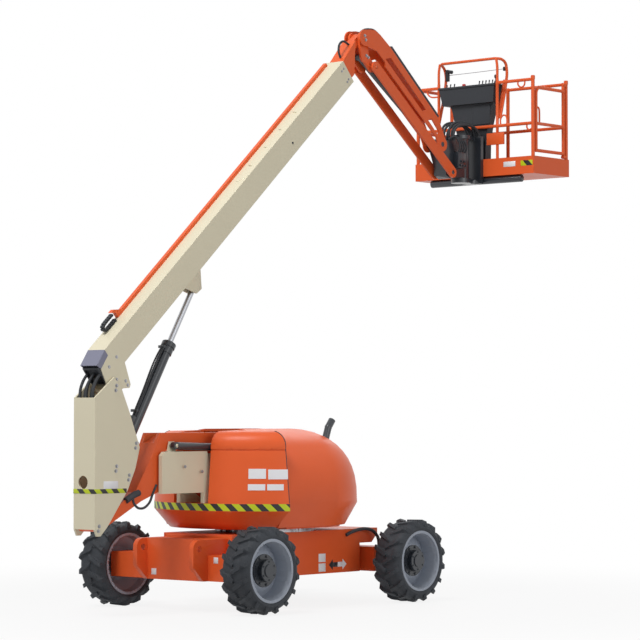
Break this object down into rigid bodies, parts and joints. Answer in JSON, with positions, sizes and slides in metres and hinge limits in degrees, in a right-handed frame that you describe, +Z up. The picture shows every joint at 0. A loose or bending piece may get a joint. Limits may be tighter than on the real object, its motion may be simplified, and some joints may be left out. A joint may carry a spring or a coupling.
{
  "type": "articulating boom lift",
  "caption": "Wheeled articulating boom lift with a folding tower, telescopic boom, jib and railed work platform on a swinging turntable.",
  "frame": {"origin": "on the floor under the swing axis, midway between the axles", "axes": "+X forward from the upright towards the platform, +Y left, +Z up"},
  "size_m": [7.3138, 2.432, 6.5209],
  "materials": {
    "orange_paint": "semi-gloss paint",
    "cream_paint": "semi-gloss paint",
    "black_paint": "satin paint",
    "black_plastic": "fine grain",
    "grey_plastic": "moulded",
    "chrome_rod": "polished",
    "wheel_paint": "satin paint",
    "tyre_rubber": "matt",
    "steel": "machined"
  },
  "bodies": {
    "chassis": {"chassis_frame": "orange_paint", "rear_axle": "orange_paint", "front_axle": "orange_paint", "swing_bearing": "steel"},
    "knuckle_left": {"knuckle_left": "orange_paint"},
    "knuckle_right": {"knuckle_right": "orange_paint"},
    "wheel_rear_left": {"tyre_rear_left": "tyre_rubber", "rim_rear_left": "wheel_paint"},
    "wheel_rear_right": {"tyre_rear_right": "tyre_rubber", "rim_rear_right": "wheel_paint"},
    "wheel_front_left": {"tyre_front_left": "tyre_rubber", "rim_front_left": "wheel_paint"},
    "wheel_front_right": {"tyre_front_right": "tyre_rubber", "rim_front_right": "wheel_paint"},
    "turntable": {"turntable_base": "orange_paint", "tower_base": "cream_paint", "nose_hood": "orange_paint", "engine_block": "black_paint", "exhaust_pipe": "black_paint"},
    "hood_right": {"hood_right": "orange_paint"},
    "hood_left": {"hood_left": "orange_paint"},
    "tower_lower": {"tower_lower": "cream_paint"},
    "mid_upright": {"mid_upright": "orange_paint"},
    "tower_upper": {"tower_upper": "orange_paint"},
    "upright": {"upright": "cream_paint"},
    "tower_cylinder": {"tower_cylinder": "black_paint"},
    "tower_rod": {"tower_rod": "chrome_rod"},
    "boom": {"boom_base": "cream_paint", "boom_rail": "orange_paint", "boom_cover": "grey_plastic"},
    "lift_cylinder": {"lift_cylinder": "black_paint"},
    "lift_rod": {"lift_rod": "chrome_rod"},
    "fly": {"fly_boom": "orange_paint"},
    "jib_bracket": {"jib_bracket": "orange_paint"},
    "jib_arm": {"jib_arm": "orange_paint"},
    "jib_links": {"jib_links": "orange_paint"},
    "jib_cylinder": {"jib_cylinder": "black_paint"},
    "jib_rod": {"jib_rod": "chrome_rod"},
    "platform_support": {"platform_support": "black_paint"},
    "platform": {"platform_mount": "black_paint", "platform_tray": "orange_paint", "platform_rails": "orange_paint", "control_console": "black_plastic"},
    "gate": {"platform_gate": "orange_paint"}
  },
  "joints": [
    {"name": "steer_left", "type": "hinge", "parent": "chassis", "child": "knuckle_left", "pos_m": [1.24, 0.78, 0.455], "axis": [0, 0, 1], "range_deg": [-35, 35]},
    {"name": "steer_right", "type": "hinge", "parent": "chassis", "child": "knuckle_right", "pos_m": [1.24, -0.78, 0.455], "axis": [0, 0, 1], "range_deg": [-35, 35]},
    {"name": "spin_rear_left", "type": "hinge", "parent": "chassis", "child": "wheel_rear_left", "pos_m": [-1.24, 1.04, 0.455], "axis": [0, 1, 0], "continuous": true},
    {"name": "spin_rear_right", "type": "hinge", "parent": "chassis", "child": "wheel_rear_right", "pos_m": [-1.24, -1.04, 0.455], "axis": [0, 1, 0], "continuous": true},
    {"name": "spin_front_left", "type": "hinge", "parent": "knuckle_left", "child": "wheel_front_left", "pos_m": [1.24, 1.04, 0.455], "axis": [0, 1, 0], "continuous": true},
    {"name": "spin_front_right", "type": "hinge", "parent": "knuckle_right", "child": "wheel_front_right", "pos_m": [1.24, -1.04, 0.455], "axis": [0, 1, 0], "continuous": true},
    {"name": "swing", "type": "hinge", "parent": "chassis", "child": "turntable", "pos_m": [0, 0, 0.85], "axis": [0, 0, 1], "continuous": true},
    {"name": "hood_right_lift", "type": "hinge", "parent": "turntable", "child": "hood_right", "pos_m": [-0.95, -0.25, 1.92], "axis": [-1, 0, 0], "range_deg": [0, 60]},
    {"name": "hood_left_lift", "type": "hinge", "parent": "turntable", "child": "hood_left", "pos_m": [-0.95, 0.25, 1.92], "axis": [1, 0, 0], "range_deg": [0, 60]},
    {"name": "tower_lift", "type": "hinge", "parent": "turntable", "child": "tower_lower", "pos_m": [-1.514, 0, 1.524], "axis": [0, -1, 0], "range_deg": [0, 65]},
    {"name": "mid_upright_level", "type": "hinge", "parent": "tower_lower", "child": "mid_upright", "pos_m": [0.44503, 0, 1.46243], "axis": [0, 1, 0], "range_deg": [0, 65]},
    {"name": "tower_upper_lift", "type": "hinge", "parent": "mid_upright", "child": "tower_upper", "pos_m": [0.59503, 0, 1.795], "axis": [0, 1, 0], "range_deg": [0, 65]},
    {"name": "upright_level", "type": "hinge", "parent": "tower_upper", "child": "upright", "pos_m": [-2.685, 0, 0.93], "axis": [0, -1, 0], "range_deg": [0, 65]},
    {"name": "tower_cylinder_pivot", "type": "hinge", "parent": "turntable", "child": "tower_cylinder", "pos_m": [-1.64, -0.195, 1.745], "axis": [0, -1, 0], "range_deg": [0, 65.19]},
    {"name": "tower_rod_slide", "type": "slide", "parent": "tower_cylinder", "child": "tower_rod", "axis": [0.9995, 0, -0.0307], "range_m": [-0.2749, 0]},
    {"name": "boom_lift", "type": "hinge", "parent": "upright", "child": "boom", "pos_m": [-2.472, 0, 2.365], "axis": [0, -1, 0], "range_deg": [-46.5, 31.5]},
    {"name": "lift_cylinder_pivot", "type": "hinge", "parent": "upright", "child": "lift_cylinder", "pos_m": [-2.168, 0, 1.768], "axis": [0, -1, 0], "range_deg": [-39.62, 26.88]},
    {"name": "lift_rod_slide", "type": "slide", "parent": "lift_cylinder", "child": "lift_rod", "axis": [0.52, 0, 0.8541], "range_m": [-0.4879, 0.3309]},
    {"name": "telescope", "type": "slide", "parent": "boom", "child": "fly", "axis": [0.749, 0, 0.6626], "range_m": [0, 3.6]},
    {"name": "jib_bracket_level", "type": "hinge", "parent": "fly", "child": "jib_bracket", "pos_m": [1.59595, 0, 6.40998], "axis": [0, 1, 0], "range_deg": [-46.5, 31.5]},
    {"name": "jib_lift", "type": "hinge", "parent": "jib_bracket", "child": "jib_arm", "pos_m": [1.59595, 0, 6.40998], "axis": [0, 1, 0], "range_deg": [-107, 22.4]},
    {"name": "jib_links_swing", "type": "hinge", "parent": "jib_bracket", "child": "jib_links", "pos_m": [1.76095, 0, 6.08498], "axis": [0, 1, 0], "range_deg": [-107, 22.4]},
    {"name": "jib_cylinder_pivot", "type": "hinge", "parent": "jib_bracket", "child": "jib_cylinder", "pos_m": [1.63595, 0, 6.19798], "axis": [0, 1, 0], "range_deg": [-107, 22.4]},
    {"name": "jib_rod_slide", "type": "slide", "parent": "jib_cylinder", "child": "jib_rod", "axis": [0.8358, 0, -0.5491], "range_m": [-0.0714, 0.3372]},
    {"name": "platform_level", "type": "hinge", "parent": "jib_arm", "child": "platform_support", "pos_m": [3.04584, 0, 5.29341], "axis": [0, -1, 0], "range_deg": [-107, 22.4]},
    {"name": "platform_rotate", "type": "hinge", "parent": "platform_support", "child": "platform", "pos_m": [3.55584, 0, 4.95841], "axis": [0, 0, 1], "range_deg": [-90, 90]},
    {"name": "gate_swing", "type": "hinge", "parent": "platform", "child": "gate", "pos_m": [4.45884, -0.875, 5.55841], "axis": [0, 0, -1], "range_deg": [0, 90]}
  ],
  "couplings": [
    {"joint": "mid_upright_level", "follows": "tower_lift", "ratio": 1},
    {"joint": "tower_upper_lift", "follows": "tower_lift", "ratio": 1},
    {"joint": "upright_level", "follows": "tower_lift", "ratio": 1},
    {"joint": "tower_cylinder_pivot", "follows": "tower_lift", "ratio": 1.003},
    {"joint": "tower_rod_slide", "follows": "tower_lift", "m_per_rad": -0.2414},
    {"joint": "lift_cylinder_pivot", "follows": "boom_lift", "ratio": 0.85},
    {"joint": "lift_rod_slide", "follows": "boom_lift", "m_per_rad": 0.6},
    {"joint": "jib_bracket_level", "follows": "boom_lift", "ratio": 1},
    {"joint": "jib_links_swing", "follows": "jib_lift", "ratio": 1},
    {"joint": "jib_cylinder_pivot", "follows": "jib_lift", "ratio": 1},
    {"joint": "jib_rod_slide", "follows": "jib_lift", "m_per_rad": -0.18},
    {"joint": "platform_level", "follows": "jib_lift", "ratio": 1}
  ]
}
